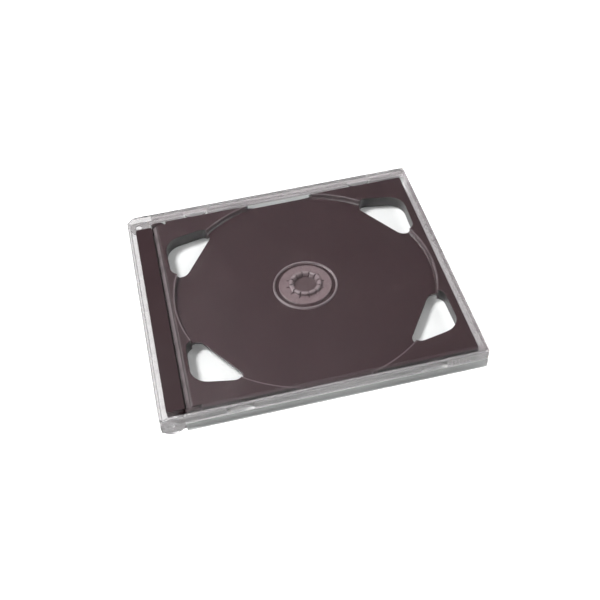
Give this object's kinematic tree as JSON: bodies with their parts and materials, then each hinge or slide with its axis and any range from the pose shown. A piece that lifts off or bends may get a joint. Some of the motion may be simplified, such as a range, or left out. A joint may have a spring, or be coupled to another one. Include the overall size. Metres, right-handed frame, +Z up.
{
  "type": "double disc case",
  "caption": "Flat clear case with a hinged front cover over a dark double-sided swing tray, with hubs, finger openings and a fixed hinge strip.",
  "frame": {"origin": "centre of the closed case's footprint, on its underside", "axes": "+X from the spine to the opening side, +Y across the case to the far side, +Z up through the closed cover"},
  "size_m": [0.142, 0.125, 0.0104],
  "materials": {
    "clear_polystyrene": "clear polished crystal polystyrene",
    "dark_polystyrene": "dark plum-brown moulded polystyrene, satin gloss"
  },
  "bodies": {
    "base": {"base_shell": "clear_polystyrene", "hinge_strip": "dark_polystyrene"},
    "cover": {"front_cover": "clear_polystyrene"},
    "tray": {"swing_tray": "dark_polystyrene"}
  },
  "joints": [
    {"name": "cover_hinge", "type": "hinge", "parent": "base", "child": "cover", "pos_m": [-0.0658, 0, 0.0052], "axis": [0, -1, 0], "range_deg": [0, 180]},
    {"name": "tray_swing", "type": "hinge", "parent": "base", "child": "tray", "pos_m": [-0.05595, 0, 0.00445], "axis": [0, -1, 0], "range_deg": [0, 90]}
  ],
  "couplings": [
    {"joint": "tray_swing", "follows": "cover_hinge", "ratio": 0.5}
  ]
}
